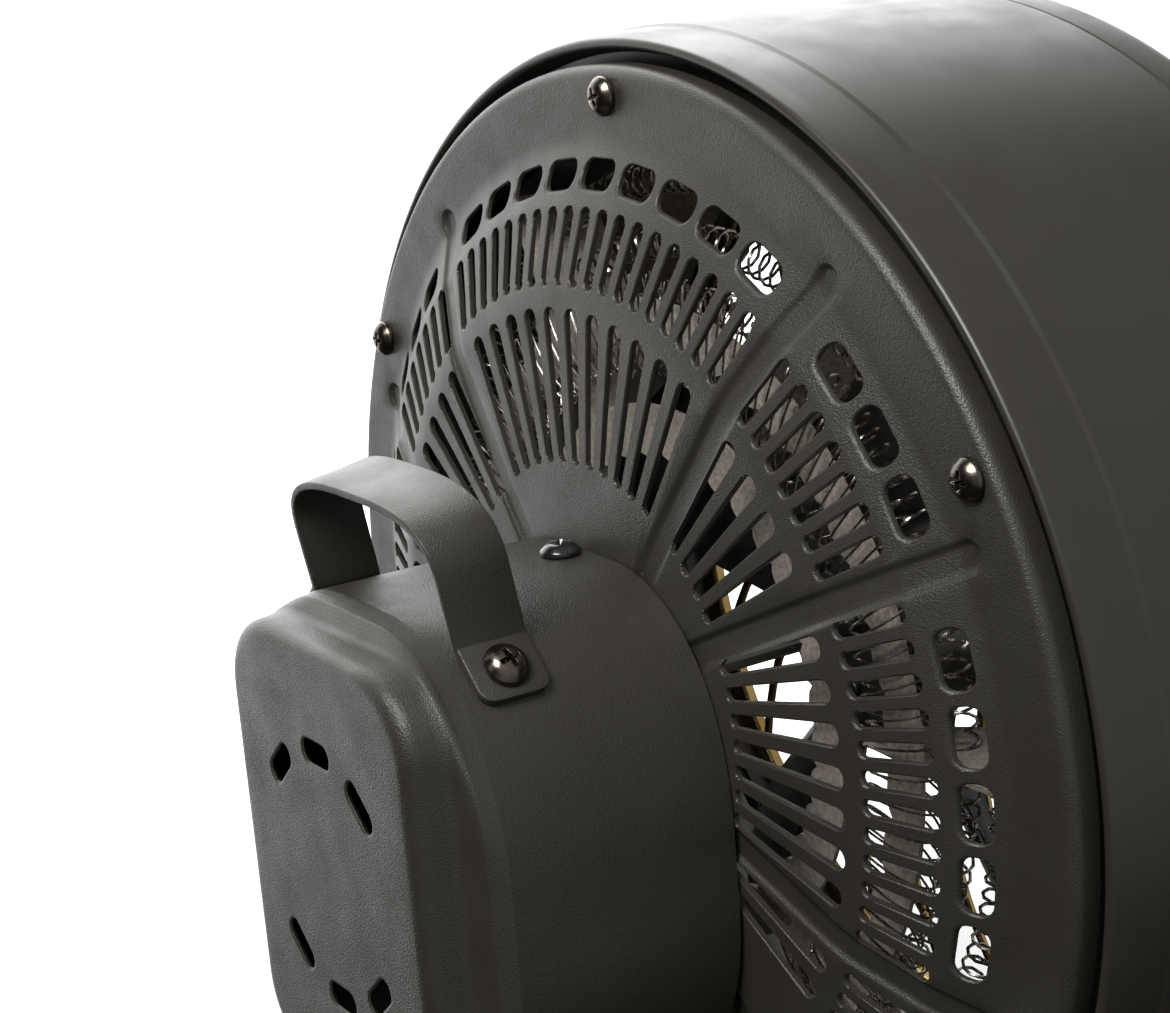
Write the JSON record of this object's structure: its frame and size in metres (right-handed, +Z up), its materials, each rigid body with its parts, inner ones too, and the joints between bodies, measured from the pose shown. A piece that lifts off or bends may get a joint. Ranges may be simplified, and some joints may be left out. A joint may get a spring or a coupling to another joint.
{
  "type": "fan heater",
  "caption": "Round all-metal fan heater on a steel stand, with a slotted rear grille, a motor cover with a strap handle, wire coils on mica and an impeller.",
  "frame": {"origin": "on the floor under the middle of the whole heater's box", "axes": "+Z up; the fan axis lies along Y, air goes in at the rear (+Y) and out at the front (-Y); +X is the heater's right-hand side seen from the front"},
  "size_m": [0.265, 0.1746, 0.3125],
  "materials": {
    "powder_coat": "fine orange-peel satin powder coat, warm dark grey",
    "barrel_paint": "smooth satin paint, warm dark grey",
    "dark_nickel": "dark nickel plating, glossy",
    "black_screw": "black oxide, semi-gloss",
    "guard_metal": "pale gold plated steel, satin",
    "mica": "mottled grey-brown mica board",
    "heating_wire": "bright resistance wire",
    "bare_steel": "bare turned steel",
    "galvanised": "galvanised sheet",
    "copper": "enamelled copper wire",
    "bronze": "sintered bronze",
    "black_plastic": "fine-textured black plastic",
    "rubber": "matt black rubber",
    "amber_lens": "clear amber plastic"
  },
  "bodies": {
    "housing": {"rear_grille": "powder_coat", "barrel": "barrel_paint", "front_bezel": "barrel_paint", "air_duct": "galvanised", "front_guard": "guard_metal", "guard_badge": "barrel_paint", "mica_frame": "mica", "heating_coil_inner": "heating_wire", "heating_coil_middle": "heating_wire", "heating_coil_outer": "heating_wire", "thermal_cutout": "bare_steel", "stator_core": "galvanised", "field_coil": "copper", "motor_bracket_rear": "galvanised", "motor_bracket_front": "galvanised", "bushing_rear": "bronze", "bushing_front": "bronze", "motor_bolt_left": "bare_steel", "motor_bolt_right": "bare_steel", "motor_cover": "powder_coat", "cover_mount_frame": "galvanised", "handle": "powder_coat", "handle_screw_left": "dark_nickel", "handle_screw_right": "dark_nickel", "cover_screw_top": "black_screw", "cover_screw_bottom": "black_screw", "control_box": "powder_coat", "base_plate": "powder_coat", "stand_saddle": "powder_coat", "heat_switch": "black_plastic", "thermostat_body": "bare_steel", "indicator_lamp": "amber_lens", "cord_gland": "black_plastic", "tip_switch": "black_plastic", "terminal_block": "black_plastic", "grille_screw_1": "dark_nickel", "grille_screw_2": "dark_nickel", "grille_screw_3": "dark_nickel", "grille_screw_4": "dark_nickel", "grille_screw_5": "dark_nickel", "grille_screw_6": "dark_nickel", "rubber_foot_1": "rubber", "rubber_foot_2": "rubber", "rubber_foot_3": "rubber", "rubber_foot_4": "rubber"},
    "fan": {"impeller": "galvanised", "impeller_nut": "bare_steel", "motor_shaft": "bare_steel", "rotor": "bare_steel"},
    "heat_dial": {"heat_knob": "black_plastic"},
    "thermostat_dial": {"thermostat_knob": "black_plastic"},
    "tip_pin": {"tip_plunger": "bare_steel"}
  },
  "joints": [
    {"name": "fan_spin", "type": "hinge", "parent": "housing", "child": "fan", "pos_m": [0, 0, 0.18], "axis": [0, 1, 0], "continuous": true},
    {"name": "heat_select", "type": "hinge", "parent": "housing", "child": "heat_dial", "pos_m": [0.038, -0.07, 0.025], "axis": [0, 1, 0], "range_deg": [0, 180]},
    {"name": "thermostat_set", "type": "hinge", "parent": "housing", "child": "thermostat_dial", "pos_m": [-0.038, -0.07, 0.025], "axis": [0, 1, 0], "range_deg": [-135, 135]},
    {"name": "tip_slide", "type": "slide", "parent": "housing", "child": "tip_pin", "axis": [0, 0, 1], "range_m": [-0.004, 0.001], "stiffness_N_per_m": 60, "springref_m": -0.004}
  ]
}
